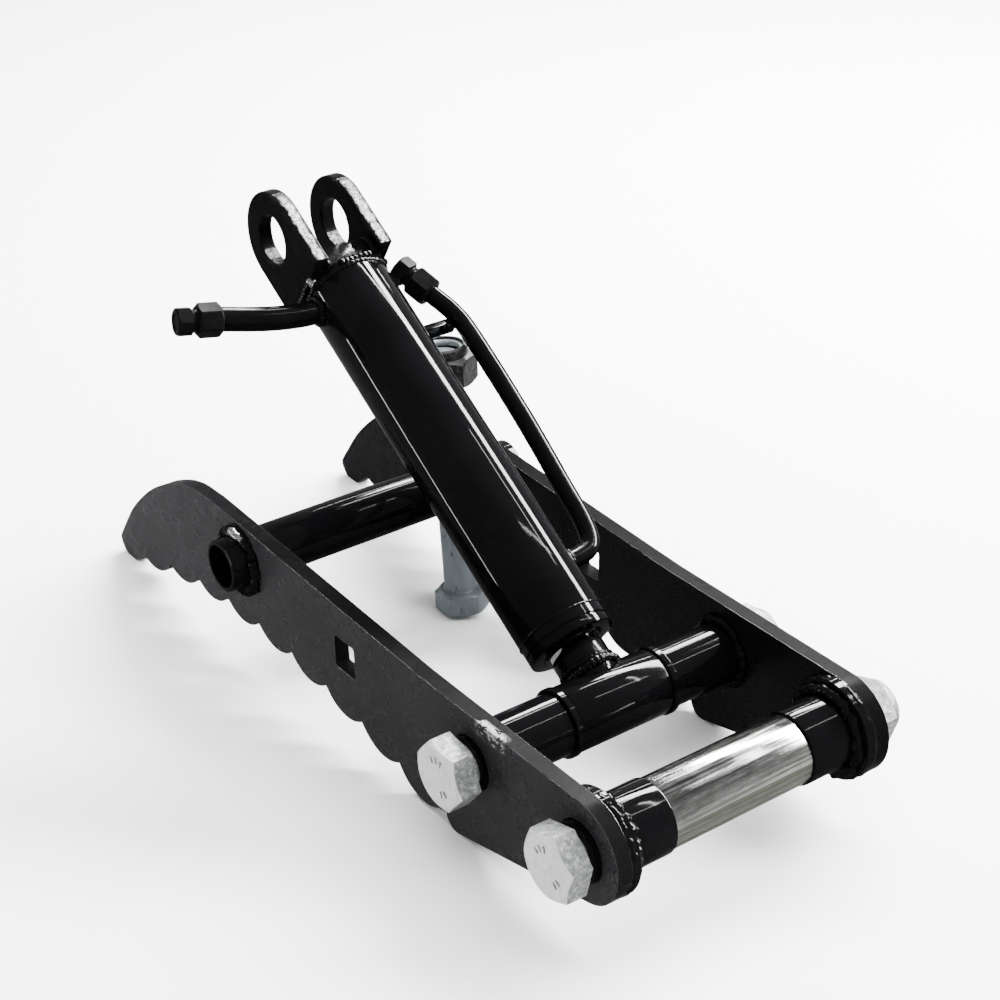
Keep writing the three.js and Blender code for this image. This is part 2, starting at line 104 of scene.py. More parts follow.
class Look:
    """A node material with short names for the nodes it uses."""

    def __init__(self, name, roughness=0.5, metallic=0.0, specular=0.5):
        self.mat = bpy.data.materials.new(name)
        self.mat.use_nodes = True
        self.tree = self.mat.node_tree
        self.shader = self.tree.nodes["Principled BSDF"]
        self.put("Roughness", roughness)
        self.put("Metallic", metallic)
        self.put("Specular IOR Level", specular)
        self.place = self.tree.nodes.new("ShaderNodeTexCoord")

    def join(self, value, socket):
        """Links a node's output to a socket, or sets the socket to a number or colour."""
        if isinstance(value, bpy.types.NodeSocket):
            self.tree.links.new(value, socket)
        elif isinstance(value, tuple):
            socket.default_value = (*value, 1.0)
        else:
            socket.default_value = value

    def put(self, name, value):
        self.join(value, self.shader.inputs[name])

    def link_into(self, name):
        """What feeds an input of the shader so far."""
        return self.shader.inputs[name].links[0].from_socket

    def noise(self, scale, detail=4.0, rough=0.55, stretch=(1, 1, 1), distortion=0.0):
        mapping = self.tree.nodes.new("ShaderNodeMapping")
        mapping.inputs["Scale"].default_value = stretch
        self.tree.links.new(self.place.outputs["Object"], mapping.inputs["Vector"])
        node = self.tree.nodes.new("ShaderNodeTexNoise")
        self.tree.links.new(mapping.outputs["Vector"], node.inputs["Vector"])
        node.inputs["Scale"].default_value = scale
        node.inputs["Detail"].default_value = detail
        node.inputs["Roughness"].default_value = rough
        node.inputs["Distortion"].default_value = distortion
        return node.outputs["Fac"]

    def ramp(self, value, stops):
        node = self.tree.nodes.new("ShaderNodeValToRGB")
        self.tree.links.new(value, node.inputs["Fac"])
        elements = node.color_ramp.elements
        while len(elements) < len(stops):
            elements.new(0.5)
        for element, (at, colour) in zip(elements, stops):
            element.position = at
            element.color = (*colour, 1.0)
        return node.outputs["Color"]

    def remap(self, value, low, high, from_low=0.3, from_high=0.7):
        node = self.tree.nodes.new("ShaderNodeMapRange")
        self.tree.links.new(value, node.inputs["Value"])
        node.inputs["From Min"].default_value = from_low
        node.inputs["From Max"].default_value = from_high
        node.inputs["To Min"].default_value = low
        node.inputs["To Max"].default_value = high
        return node.outputs["Result"]

    def smooth_step(self, value, start, end):
        """A mask that eases from 0 at start to 1 at end; start may be above end."""
        node = self.tree.nodes.new("ShaderNodeMapRange")
        node.interpolation_type = "SMOOTHSTEP"
        self.tree.links.new(value, node.inputs["Value"])
        node.inputs["From Min"].default_value = start
        node.inputs["From Max"].default_value = end
        return node.outputs["Result"]

    def maths(self, operation, a, b=0.0):
        node = self.tree.nodes.new("ShaderNodeMath")
        node.operation = operation
        self.join(a, node.inputs[0])
        self.join(b, node.inputs[1])
        return node.outputs["Value"]

    def plus(self, a, b):
        return self.maths("ADD", a, b)

    def minus(self, a, b):
        return self.maths("SUBTRACT", a, b)

    def times(self, a, b):
        return self.maths("MULTIPLY", a, b)

    def larger(self, a, b):
        return self.maths("MAXIMUM", a, b)

    def unsigned(self, a):
        return self.maths("ABSOLUTE", a)

    def mix(self, amount, a, b, blend="MIX"):
        node = self.tree.nodes.new("ShaderNodeMix")
        node.data_type = "RGBA"
        node.blend_type = blend
        factor, first, second = node.inputs[0], node.inputs[6], node.inputs[7]
        self.join(amount, factor)
        self.join(a, first)
        self.join(b, second)
        return node.outputs[2]

    def bump(self, height, strength, distance, under=None):
        node = self.tree.nodes.new("ShaderNodeBump")
        node.inputs["Strength"].default_value = strength
        node.inputs["Distance"].default_value = distance
        self.tree.links.new(height, node.inputs["Height"])
        if under is not None:
            self.tree.links.new(under, node.inputs["Normal"])
        return node.outputs["Normal"]

    def facing(self, direction):
        """How far the surface's normal reaches along a direction."""
        return self.dot(self.place.outputs["Normal"], direction)

    def reach(self, direction, origin):
        """How far the surface lies along a direction from a point, in metres."""
        away = self.tree.nodes.new("ShaderNodeVectorMath")
        away.operation = "SUBTRACT"
        self.tree.links.new(self.place.outputs["Object"], away.inputs[0])
        away.inputs[1].default_value = origin
        return self.dot(away.outputs["Vector"], direction)

    def dot(self, vector, direction):
        node = self.tree.nodes.new("ShaderNodeVectorMath")
        node.operation = "DOT_PRODUCT"
        self.tree.links.new(vector, node.inputs[0])
        node.inputs[1].default_value = direction
        return node.outputs["Value"]


def gloss_paint(name, colour=(0.0012, 0.0011, 0.0013), roughness=0.1, peel=0.25):
    """Black gloss with orange peel and dust, and painted shade: it reflects less where it faces
    down.
    """
    dust_colour = (0.008, 0.008, 0.0085)
    dull, lit_gain = 0.012, 0.108
    look = Look(name)
    cloud = look.noise(35, 5)
    dust = look.noise(900, 3, 0.7)
    tint = look.ramp(cloud, [(0.3, colour), (0.75, shade(colour, 1.7))])
    specks = look.remap(dust, 0.0, 0.35, 0.66, 0.8)
    look.put("Base Color", look.mix(specks, tint, dust_colour))
    look.put("Roughness", look.remap(look.noise(60, 6), roughness * 0.75, roughness * 1.7))
    # Painted shade: the paint reflects less where it faces down.
    lit = look.smooth_step(look.facing(Z), -0.25, 0.2)
    look.put("Specular IOR Level", look.plus(dull, look.times(lit, lit_gain)))
    skin = look.bump(look.noise(260, 2, 0.4), peel, 0.0003)
    look.put("Normal", look.bump(look.noise(45, 3), peel * 0.9, 0.0012, skin))
    return look


def satin_paint(name, colour=(0.0125, 0.0122, 0.0134), sheen=0.1):
    """The side plates' paint: satin and wiped on the faces, darkened with painted shade on the
    burnt flanks, glossy on the arris between them, and painted lighter towards the tip."""
    shaded_flank_colour = (0.0015, 0.0015, 0.0016)
    tip_start, tip_end = 0.06, 0.33
    look = Look(name)
    cloud = look.noise(14, 5, 0.6)
    tint = look.ramp(cloud, [(0.25, shade(colour, 0.8)), (0.8, shade(colour, 1.25))])
    wipes = look.noise(30, 6, 0.7, stretch=(1, 0.25, 1), distortion=0.6)
    tint = look.mix(look.remap(wipes, 0.0, 0.2, 0.6, 0.85), tint, shade(colour, 3))
    sideways = look.unsigned(look.facing(X))
    face = look.smooth_step(sideways, 0.9, 0.99)
    # Painted shade on the flanks: a darker colour and almost no reflection.
    shaded_flank = look.smooth_step(sideways, 0.2, 0.04)
    arris = look.minus(1.0, look.larger(face, shaded_flank))
    shine = look.plus(look.times(face, sheen), look.times(shaded_flank, 0.01))
    look.put("Specular IOR Level", look.plus(shine, look.times(arris, 0.9)))
    # Painted light: the colour lightens towards the tip.
    tip_light = look.smooth_step(look.reach(Y, P(0, 0, 0)), tip_start, tip_end)
    tint = look.mix(look.times(tip_light, 0.5), tint, shade(colour, 2.4))
    look.put("Base Color", look.mix(look.times(shaded_flank, 0.8), tint, shaded_flank_colour))
    rough = look.remap(look.noise(50, 6), 0.22, 0.34)
    look.put("Roughness", look.minus(rough, look.times(arris, 0.1)))
    skin = look.bump(look.noise(420, 3, 0.5), 0.35, 0.0002)
    look.put("Normal", look.bump(look.noise(25, 3), 0.12, 0.002, skin))
    return look


def zinc_plate(name, tone=1.0, axis=X, metallic=0.4, specular=0.4):
    """Zinc plate: even and lighter on the faces square to the axis, mottled and darker on the
    flanks; the light faces and dark flanks are painted light and shade.
    """
    light = shade((0.66, 0.67, 0.68), tone)
    dark = shade((0.075, 0.088, 0.09), tone)
    stain_colour = shade((0.36, 0.37, 0.34), tone)
    look = Look(name, metallic=metallic, specular=specular)
    cloud = look.noise(420, 7, 0.8, distortion=0.1)
    # Painted light and shade: lighter faces square to the axis, darker flanks; the mottle is the
    # zinc's own.
    shaded_flank = look.ramp(cloud, [(0.36, dark), (0.53, shade(light, 0.3)),
                              (0.68, shade(light, 0.75))])
    face = look.ramp(look.noise(240, 7, 0.75), [(0.3, shade(light, 0.85)),
                                                (0.7, shade(light, 1.2))])
    square_on = look.smooth_step(look.unsigned(look.facing(axis)), 0.7, 0.95)
    tint = look.mix(square_on, shaded_flank, face)
    stains = look.remap(look.noise(300, 5, 0.7), 0.0, 0.5, 0.56, 0.75)
    look.put("Base Color", look.mix(stains, tint, stain_colour))
    look.put("Specular Tint", (0.5, 0.5, 0.5))
    look.put("Roughness", look.remap(look.noise(200, 6), 0.3, 0.55))
    pits = look.bump(look.noise(700, 5, 0.7), 0.5, 0.0002)
    look.put("Normal", look.bump(cloud, 0.35, 0.0004, pits))
    return look


def drawn_steel(name):
    """A bare tube with lengthwise draw lines brightened into painted highlight streaks, handled,
    and with painted shade on its lower side.
    """
    lower_shade_colour = (0.03, 0.031, 0.023)
    look = Look(name)
    lines = look.noise(520, 3, 0.6, stretch=(0.012, 1, 1))
    mottle = look.noise(260, 7, 0.8, stretch=(0.3, 1, 1), distortion=0.15)
    tint = look.ramp(mottle, [(0.32, (0.24, 0.245, 0.235)), (0.5, (0.42, 0.425, 0.415)),
                              (0.68, (0.56, 0.56, 0.555))])
    # Draw lines, brightened into painted highlight streaks along the tube.
    lines_and_sheen = look.ramp(lines, [(0.42, (0.14, 0.143, 0.135)), (0.5, (0.6, 0.6, 0.59)),
                                (0.56, (1, 1, 1))])
    steel = look.mix(0.8, tint, lines_and_sheen, "MULTIPLY")
    # Painted shade: darker and less metallic on the lower side, with a wavy edge along the draw
    # lines.
    wavy = look.plus(look.facing(Z), look.remap(lines, -0.3, 0.3))
    shaded_lower_side = look.smooth_step(wavy, 0.62, 0.1)
    look.put("Base Color", look.mix(look.times(shaded_lower_side, 0.9), steel, lower_shade_colour))
    look.put("Metallic", look.minus(1.0, look.times(shaded_lower_side, 0.75)))
    look.put("Specular Tint", (0.3, 0.3, 0.28))
    look.put("Specular IOR Level", 0.15)
    look.put("Roughness", look.remap(mottle, 0.07, 0.2))
    grain = look.bump(lines, 0.6, 0.0003)
    look.put("Normal", look.bump(mottle, 0.1, 0.0003, grain))
    return look


def plain_look(name, colour, roughness, scale, stretch=(1, 1, 1), metallic=1.0):
    """One colour with a fine cloud in its tone, roughness and relief."""
    look = Look(name, metallic=metallic)
    cloud = look.noise(scale, 6, 0.65, stretch=stretch)
    tint = look.ramp(cloud, [(0.3, shade(colour, 0.7)), (0.7, shade(colour, 1.15))])
    look.put("Base Color", tint)
    look.put("Roughness", look.remap(cloud, roughness * 0.8, roughness * 1.3))
    look.put("Normal", look.bump(cloud, 0.3, 0.0002))
    return look


def bare_patch(look, mask):
    """Turns a painted look into rough bare steel where the mask is 1."""
    grain = look.noise(900, 6, 0.8)
    steel = look.ramp(grain, [(0.36, (0.04, 0.038, 0.036)), (0.5, (0.36, 0.35, 0.34)),
                              (0.64, (0.9, 0.89, 0.86))])
    look.put("Base Color", look.mix(mask, look.link_into("Base Color"), steel))
    look.put("Roughness", look.larger(look.link_into("Roughness"), look.times(mask, 0.42)))
    look.put("Metallic", look.times(mask, 0.75))
    scars = look.times(grain, mask)
    look.put("Normal", look.bump(scars, 1.0, 0.0009, look.link_into("Normal")))


def worn_ear_paint():
    """The clevis ears: the paint never held along the rough upper edge, and the pin holes show a
    little worn bare steel, painted as a glint low in the hole. Heights are above the cylinder's
    axis."""
    edge_height = (0.0145, 0.0165)
    hole_height = (0.0138, 0.0128)
    ear_middle = 0.0183
    band_width = (0.0027, 0.0017)
    look = gloss_paint("ear_paint", roughness=0.14, peel=0.35)
    sideways = look.unsigned(look.facing(X))
    look.put("Specular IOR Level", look.remap(sideways, 0.12, 0.025, 0.85, 0.98))
    height = look.reach(UP, K(0, 0, 0))
    edge = look.smooth_step(look.facing(UP), 0.92, 0.97)
    rim = look.smooth_step(height, *edge_height)
    off_middle = look.unsigned(look.reach(X, K(0, 0, 0)))
    off_middle = look.unsigned(look.minus(off_middle, ear_middle))
    torn_line = look.remap(look.noise(260, 6, 0.8), -0.0016, 0.0016)
    band = look.smooth_step(look.plus(off_middle, torn_line), *band_width)
    # Painted glint: worn bare steel in the hole only where its wall faces the camera and up.
    lower_glint = look.smooth_step(look.facing((0, -0.55, 0.83)), 0.955, 0.99)
    inside = look.smooth_step(height, *hole_height)
    worn_hole_glint = look.times(look.times(lower_glint, inside), 0.55)
    torn = look.remap(look.noise(520, 6, 0.85), 0.0, 1.0, 0.4, 0.52)
    bare_edge = look.times(look.times(edge, rim), band)
    bare_patch(look, look.times(look.larger(bare_edge, worn_hole_glint), torn))
    return look


def chipped_plate_paint():
    """The left side plate: its paint is chipped off the upper edge near the rod pin."""
    chip_y = -15
    chip_height = (0.0175, 0.0205)
    chip_depth = (0.0045, 0.0015)
    chip_length = (0.012, 0.006)
    look = satin_paint("plate_paint_left")
    high = look.smooth_step(look.reach(Z, P(0, 0, 0)), *chip_height)
    outer = look.smooth_step(look.reach(X, P(-PLATE_OUT, 0, 0)), *chip_depth)
    near = look.smooth_step(look.unsigned(look.reach(Y, P(0, chip_y, 0))), *chip_length)
    ragged = look.remap(look.noise(260, 4, 0.7, stretch=(1, 0.6, 1)), 0.0, 1.0, 0.49, 0.52)
    bare_patch(look, look.times(look.times(look.times(high, outer), near), ragged))
    return look


def matt_fitting_paint():
    """Thick, dull paint on the port fittings."""
    look = gloss_paint("fitting_paint", (0.0018, 0.0016, 0.0018), roughness=0.3, peel=0.8)
    look.tree.links.remove(look.shader.inputs["Specular IOR Level"].links[0])
    look.put("Specular IOR Level", 0.04)
    return look


paint = gloss_paint("gloss_black_paint")
turned_paint = gloss_paint("turned_part_paint", roughness=0.06, peel=0.06)
fitting_paint = matt_fitting_paint()
weld_paint = gloss_paint("painted_weld", roughness=0.12, peel=0.9)
tube_paint = gloss_paint("barrel_paint", roughness=0.05, peel=0.05)
# Painted shade: the right plate wears a darker, duller copy of the plate paint.
shaded_inner_plate = satin_paint("plate_paint", (0.0032, 0.003, 0.0036), 0.05)
outer_plate = chipped_plate_paint()
ear_paint = worn_ear_paint()
zinc = zinc_plate("zinc_plate")
dull_zinc = plain_look("dull_zinc_plate", (0.15, 0.175, 0.19), 0.3, 90, (1, 1, 0.4), 0.5)
olive_zinc = zinc_plate("olive_zinc_plate", 0.1, Z, 0.3, 0.12)
sleeve_steel = drawn_steel("drawn_steel")
chrome = plain_look("hard_chrome", (0.75, 0.75, 0.77), 0.07, 500, (1, 0.1, 0.1))
iron = plain_look("turned_iron", (0.17, 0.18, 0.19), 0.35, 400)
rubber = plain_look("seal_rubber", (0.02, 0.045, 0.1), 0.55, 500, metallic=0.0)
nylon = plain_look("nylon_insert", (0.55, 0.6, 0.62), 0.45, 350, metallic=0.0)
weld_glint_metal = plain_look("weld_glint_metal", (0.5, 0.49, 0.47), 0.25, 700)

# ---------------------------------------------------------------- mesh helpers


def new_piece(name, mesh, work, look, sharp):
    """Ends the work on a mesh and links it to the scene as a smooth-shaded piece."""
    bmesh.ops.recalc_face_normals(work, faces=work.faces)
    work.to_mesh(mesh)
    work.free()
    mesh.materials.append(look.mat)
    shade_smooth(mesh, sharp)
    piece = bpy.data.objects.new(name, mesh)
    bpy.context.scene.collection.objects.link(piece)
    return piece


def shade_smooth(mesh, sharp):
    mesh.polygons.foreach_set("use_smooth", [True] * len(mesh.polygons))
    mesh.set_sharp_from_angle(angle=math.radians(sharp))


def make(name, verts, faces, look, body, slot, sharp, bevel=0.0):
    mesh = bpy.data.meshes.new(name)
    mesh.from_pydata([tuple(v) for v in verts], [], faces)
    work = bmesh.new()
    work.from_mesh(mesh)
    bmesh.ops.remove_doubles(work, verts=work.verts, dist=1e-6)
    piece = new_piece(name, mesh, work, look, sharp)
    if bevel:
        add_bevel(piece, bevel)
    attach(piece, body)
    return piece


def add_bevel(piece, width, segments=3, angle=35):
    modifier = piece.modifiers.new("edge", "BEVEL")
    modifier.width = width / 1000
    modifier.segments = segments
    modifier.limit_method = "ANGLE"
    modifier.angle_limit = math.radians(angle)
    modifier.harden_normals = True
    modifier.use_clamp_overlap = True


def basis(axis):
    axis = axis.normalized()
    side = X if abs(axis.dot(X)) < 0.9 else Y
    u = (side - axis * side.dot(axis)).normalized()
    return u, axis.cross(u), axis


def ring_faces(rings, sides, closed):
    """Four-sided faces between rings of points, from the last ring to the first if closed."""
    faces = []
    for k in range(rings if closed else rings - 1):
        a, b = k * sides, ((k + 1) % rings) * sides
        for i in range(sides):
            j = (i + 1) % sides
            faces.append((a + i, a + j, b + j, b + i))
    return faces


def turn(name, origin, axis, rings, look, body, slot, segments=96, sharp=35, radial=None):
    """A turned piece: rings are (radius, distance) pairs, in mm, and the outline closes
    unless it starts on the axis. radial(angle, ring index, radius, distance) may give each
    point its own pair."""
    u, v, w = basis(axis)
    verts = []
    for ring_index, (radius, distance) in enumerate(rings):
        for i in range(segments):
            angle = 2 * math.pi * i / segments
            r, d = radial(angle, ring_index, radius, distance) if radial else (radius, distance)
            spoke = u * math.cos(angle) + v * math.sin(angle)
            verts.append(origin + (spoke * r + w * d) / 1000)
    hollow = rings[0][0] > 0.01
    faces = ring_faces(len(rings), segments, hollow)
    return make(name, verts, faces, look, body, slot, sharp)


def smooth_path(points, per_span):
    """Catmull-Rom points through the given ones."""
    ends = [points[0] * 2 - points[1], *points, points[-1] * 2 - points[-2]]
    out = []
    for i in range(1, len(ends) - 2):
        a, b, c, d = ends[i - 1:i + 3]
        for k in range(per_span):
            t = k / per_span
            out.append(0.5 * (2 * b + (c - a) * t + (2 * a - 5 * b + 4 * c - d) * t * t
                              + (3 * b - a - 3 * c + d) * t ** 3))
    out.append(points[-1])
    return out


def sweep(name, points, radius, look, body, slot, closed=False, sides=20):
    """A tube along points; radius is in mm, or a function of the running length in mm."""
    count = len(points)
    verts = []
    length, frame_u = 0.0, None
    for k, point in enumerate(points):
        after = points[(k + 1) % count] if closed or k < count - 1 else point
        before = points[k - 1] if closed or k > 0 else point
        tangent = (after - before).normalized()
        if frame_u is None:
            frame_u = basis(tangent)[0]
        frame_u = (frame_u - tangent * frame_u.dot(tangent)).normalized()
        frame_v = tangent.cross(frame_u)
        if k:
            length += (point - points[k - 1]).length * 1000
        r = radius(length) if callable(radius) else radius
        for i in range(sides):
            angle = 2 * math.pi * i / sides
            verts.append(point + (frame_u * math.cos(angle)
                                  + frame_v * math.sin(angle)) * r / 1000)
    faces = ring_faces(count, sides, closed)
    if not closed:
        faces.append(tuple(range(sides)))
        faces.append(tuple((count - 1) * sides + i for i in range(sides)))
    return make(name, verts, faces, look, body, slot, 50)


def bead_radius(size, pitch=2.6, seed=0.0):
    """Ripples of a weld bead, with a slow unevenness."""
    def radius(length):
        ripple = abs(math.sin(math.pi * length / pitch))
        drift = noise.noise(Vector((length * 0.16, seed, 1.7)))
        return size * (0.82 + 0.2 * ripple + 0.28 * drift)
    return radius


def spokes(axis, count):
    """Angles round an axis, with the direction at each."""
    u, v, _ = basis(axis)
    for k in range(count):
        angle = 2 * math.pi * k / count
        yield angle, u * math.cos(angle) + v * math.sin(angle)


def weld(name, points, radius, body, closed=False, sides=12):
    sweep(name, points, radius, weld_paint, body, "gloss_black", closed=closed, sides=sides)


def ring_weld(name, origin, axis, radius, size, body, seed):
    count = max(60, int(2 * math.pi * radius / 0.45))
    points = [origin + spoke * radius / 1000 for _, spoke in spokes(axis, count)]
    weld(name, points, bead_radius(size, seed=seed), body, closed=True)


def puddle_weld(name, origin, axis, radius, size, body, seed):
    """A hand-laid fillet whose thickness and path wander."""
    w = axis.normalized()
    count = max(60, int(2 * math.pi * radius / 0.5))
    points = []
    for angle, spoke in spokes(axis, count):
        wander = noise.noise(Vector((math.cos(angle) * 4, math.sin(angle) * 4, seed)))
        drift = noise.noise(Vector((math.cos(angle) * 5, math.sin(angle) * 5, seed + 7)))
        points.append(origin + (spoke * (radius + wander * 1.1) + w * drift * 0.7) / 1000)

    def lumpy(length):
        lump = noise.noise(Vector((length * 0.35, seed, 3.1)))
        ripple = noise.noise(Vector((length * 1.1, seed, 9.2)))
        return size * (0.95 + 0.5 * lump + 0.22 * ripple)

    weld(name, points, lumpy, body, closed=True, sides=14)


def line_weld(name, start, end, size, body, seed):
    count = max(6, int((end - start).length * 1000 / 0.45))
    points = [start.lerp(end, k / count) for k in range(count + 1)]
    weld(name, points, bead_radius(size, seed=seed), body)


def glint_blob(name, points, radius, body):
    """A short blob of bright bare metal on a weld: a painted glint."""
    sweep(name, smooth_path(points, 8), radius, weld_glint_metal, body, "bare_steel", sides=14)


# ---------------------------------------------------------------- side plates

ROOT_R, LOBE_R, TIP_R = 24.5, 8.0, 9.0
CROSS_Y, CROSS_Z = 196.5, 12.4
LOBE = (13.0, FLOOR + LOBE_R)
TIP = (329.0, FLOOR + TIP_R)
TOP_EDGE = [(40, 25.5), (225, 34)]
SHOULDER = [(225, 34), (246, 32.5), (267, 25.5), (292, 11.5), (316, -9), (331, -27.5)]
TOOTH_COUNT, TOOTH_DEPTH = 9, 6.5
FIRST_NOTCH_Y, NOTCH_RUN = 310, 283
PIVOT_HOLE_R, ROD_PIN_HOLE_R, CROSSBAR_HOLE_R = 14.3, 13.3, 13.8
SQUARE_HOLE, SQUARE_SIDE, SQUARE_CORNER = (102, 2.5), 17.0, 1.5
PLATE_EDGE = 0.7


def notch_height(y):
    """The notches between the teeth lie on an arch, flatter towards the root."""
    return -19 - (y - 200) ** 2 / (2 * (330 if y > 200 else 690))


def arc(centre, radius, start, end, step):
    """Points of an arc between two angles in radians, about step degrees apart."""
    count = max(2, int(abs(end - start) / math.radians(step)))
    return [(centre[0] + radius * math.cos(start + (end - start) * k / count),
             centre[1] + radius * math.sin(start + (end - start) * k / count))
            for k in range(count + 1)]


def tooth(y0, z0, y1, z1):
    """One lobe of the lower edge: an arc that bulges a tooth's depth past its chord."""
    chord = math.hypot(y1 - y0, z1 - z0)
    radius = (chord ** 2 / 4 + TOOTH_DEPTH ** 2) / (2 * TOOTH_DEPTH)
    inward = ((z0 - z1) / -chord, (y1 - y0) / -chord)
    centre = ((y0 + y1) / 2 + inward[0] * (radius - TOOTH_DEPTH),
              (z0 + z1) / 2 + inward[1] * (radius - TOOTH_DEPTH))
    start = math.atan2(z0 - centre[1], y0 - centre[0])
    end = math.atan2(z1 - centre[1], y1 - centre[0])
    if end > start:
        end -= 2 * math.pi
    return arc(centre, radius, start, end, 7)


def plate_outline():
    points = [(PIVOT_Y, ROOT_R), *TOP_EDGE]
    shoulder = [Vector((y, z, 0)) for y, z in (*SHOULDER, (TIP[0] + TIP_R, TIP[1]))]
    points += [(p.x, p.y) for p in smooth_path(shoulder, 7)[1:-1]]
    points += arc(TIP, TIP_R, 0, -math.pi / 2, 5)
    points.append((TIP[0] - 7, FLOOR))
    notch_ys = [FIRST_NOTCH_Y - i * NOTCH_RUN / TOOTH_COUNT for i in range(TOOTH_COUNT + 1)]
    for y0, y1 in zip(notch_ys, notch_ys[1:]):
        points += tooth(y0, notch_height(y0), y1, notch_height(y1))
    run = math.hypot(PIVOT_Y - LOBE[0], -LOBE[1])
    slope = math.atan2(-LOBE[1], LOBE[0] - PIVOT_Y) - math.asin((ROOT_R - LOBE_R) / run)
    tangent = -math.pi / 2 - slope
    points += arc(LOBE, LOBE_R, -0.2, tangent, 8)
    points += arc((PIVOT_Y, 0), ROOT_R, tangent, -1.5 * math.pi, 4)[:-1]
    return points


def circle(y, z, radius, count=64):
    return [(y + radius * math.cos(2 * math.pi * k / count),
             z + radius * math.sin(2 * math.pi * k / count))
            for k in range(count)]


def square_outline(y, z, side, corner):
    points = []
    for i in range(4):
        inset = side / 2 - corner
        cy = y + inset * (1 if i in (0, 3) else -1)
        cz = z + inset * (1 if i < 2 else -1)
        points += arc((cy, cz), corner, i * math.pi / 2, (i + 1) * math.pi / 2, 20)
    return points


def burnt_sheet(name, loops, x0, x1, point, look, body, edge):
    """Burnt out of sheet: the outline and its holes, filled flat and given thickness."""
    work = bmesh.new()
    edges = []
    for loop in loops:
        ring = [work.verts.new(point(x0, y, z)) for y, z in loop]
        edges += [work.edges.new((ring[i], ring[(i + 1) % len(ring)])) for i in range(len(ring))]
    bmesh.ops.triangle_fill(work, use_beauty=True, use_dissolve=True, edges=edges)
    grown = bmesh.ops.extrude_face_region(work, geom=work.faces[:])
    moved = [g for g in grown["geom"] if isinstance(g, bmesh.types.BMVert)]
    bmesh.ops.translate(work, verts=moved, vec=((x1 - x0) / 1000, 0, 0))
    piece = new_piece(name, bpy.data.meshes.new(name), work, look, 32)
    add_bevel(piece, edge, 3, 40)
    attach(piece, body)
    return piece


plate_loops = [plate_outline(), circle(PIVOT_Y, 0, PIVOT_HOLE_R), circle(0, 0, ROD_PIN_HOLE_R),
               circle(CROSS_Y, CROSS_Z, CROSSBAR_HOLE_R),
               square_outline(*SQUARE_HOLE, SQUARE_SIDE, SQUARE_CORNER)]
left_plate = burnt_sheet("left_plate", plate_loops, -PLATE_OUT, -PLATE_IN, P, outer_plate,
                         "frame", PLATE_EDGE)
right_plate = burnt_sheet("right_plate", plate_loops, PLATE_IN, PLATE_OUT, P, shaded_inner_plate,
                          "frame", PLATE_EDGE)
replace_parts(left_plate, "side_plate_left")
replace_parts(right_plate, "side_plate_right")

# Welds of each plate: name, how it is laid, x, (y, z), radius, size, and a seed that is one
# less on the left and one more on the right.
PLATE_WELDS = [
    ("crossbar_weld_out", puddle_weld, PLATE_OUT + 0.8, (CROSS_Y, CROSS_Z), 15.4, 3.5, 0),
    ("crossbar_weld_in", ring_weld, PLATE_IN - 0.4, (CROSS_Y, CROSS_Z), 14.8, 2.2, 3),
    ("rod_boss_weld", puddle_weld, PLATE_IN - 0.9, (0, 0), 15.9, 2.6, 5),
    ("pivot_boss_weld", puddle_weld, PLATE_IN - 5.8, (PIVOT_Y, 0), 18.9, 3.2, 8),
    ("pivot_collar_weld", puddle_weld, PLATE_IN - 1.6, (PIVOT_Y, 0), 22.2, 2.4, 12),
]
for side, word in SIDES:
    for name, lay, x, centre, radius, size, seed in PLATE_WELDS:
        lay(f"{name}_{word}", P(side * x, *centre), X, radius, size, "frame", side + seed)

# ---------------------------------------------------------------- bolts and nuts

# The pivot bolt and the rod pin bolt: across flats, shank radius, head height, the radius
# where the chamfer starts, and how much of the length has no thread.
BOLT_FLATS, BOLT_SHANK, HEAD_HEIGHT, BOLT_FACE = 30, 10, 12.5, 14.3
PLAIN_PART = 0.7


def hex_radius(flats, angle, turned):
    sector = (angle - turned + math.pi / 6) % (math.pi / 3) - math.pi / 6
    return flats / 2 / math.cos(sector)


def hex_piece(name, origin, axis, rings, look, body, slot, flats, turned, face,
              segments=120):
    """A turned outline whose rings of radius "hex" follow a hexagon; the ends of the
    hexagon are turned down to the face radius by a 30 degree cone."""
    marked = [ring[0] == "hex" for ring in rings]
    plain = [(flats / 2 if ring[0] == "hex" else ring[0], ring[1]) for ring in rings]

    def radial(angle, index, radius, distance):
        if not marked[index]:
            return radius, distance
        r = hex_radius(flats, angle, turned)
        inward = rings[index][2]
        return r, distance + inward * max(0.0, r - face) * math.tan(math.pi / 6)

    return turn(name, origin, axis, plain, look, body, slot, segments, 28, radial)


def threaded(radius, start, end, pitch, root):
    """Rings of a bolt's threaded end."""
    rings = [(radius - root, start)]
    d = start
    while d + pitch < end - 1.0:
        rings += [(radius, d + pitch * 0.42), (radius, d + pitch * 0.58),
                  (radius - root, d + pitch)]
        d += pitch
    return rings + [(radius - root, end - 1.0), (radius - root - 1.0, end)]


def hex_bolt(name, origin, length, look, body, turned):
    """Origin is the middle of the head's outer face; the shank runs along x."""
    flats, shank, height, face = BOLT_FLATS, BOLT_SHANK, HEAD_HEIGHT, BOLT_FACE
    plain_end = length * PLAIN_PART
    rings = [(0.001, 0.5), (face - 2.6, 0.5), (face - 1.5, 0), (face, 0), ("hex", 0, 1),
             ("hex", height - 0.9, 0), (flats / 2 - 0.3, height - 0.5),
             (flats / 2 - 0.8, height), (shank + 0.8, height), (shank, height + 0.8),
             (shank, plain_end)]
    rings += threaded(shank, plain_end + 0.4, length, 2.5, 1.1) + [(0.001, length)]
    piece = hex_piece(f"{name}_shape", origin, X, rings, look, body, "zinc", flats, turned, face)
    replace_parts(piece, name)


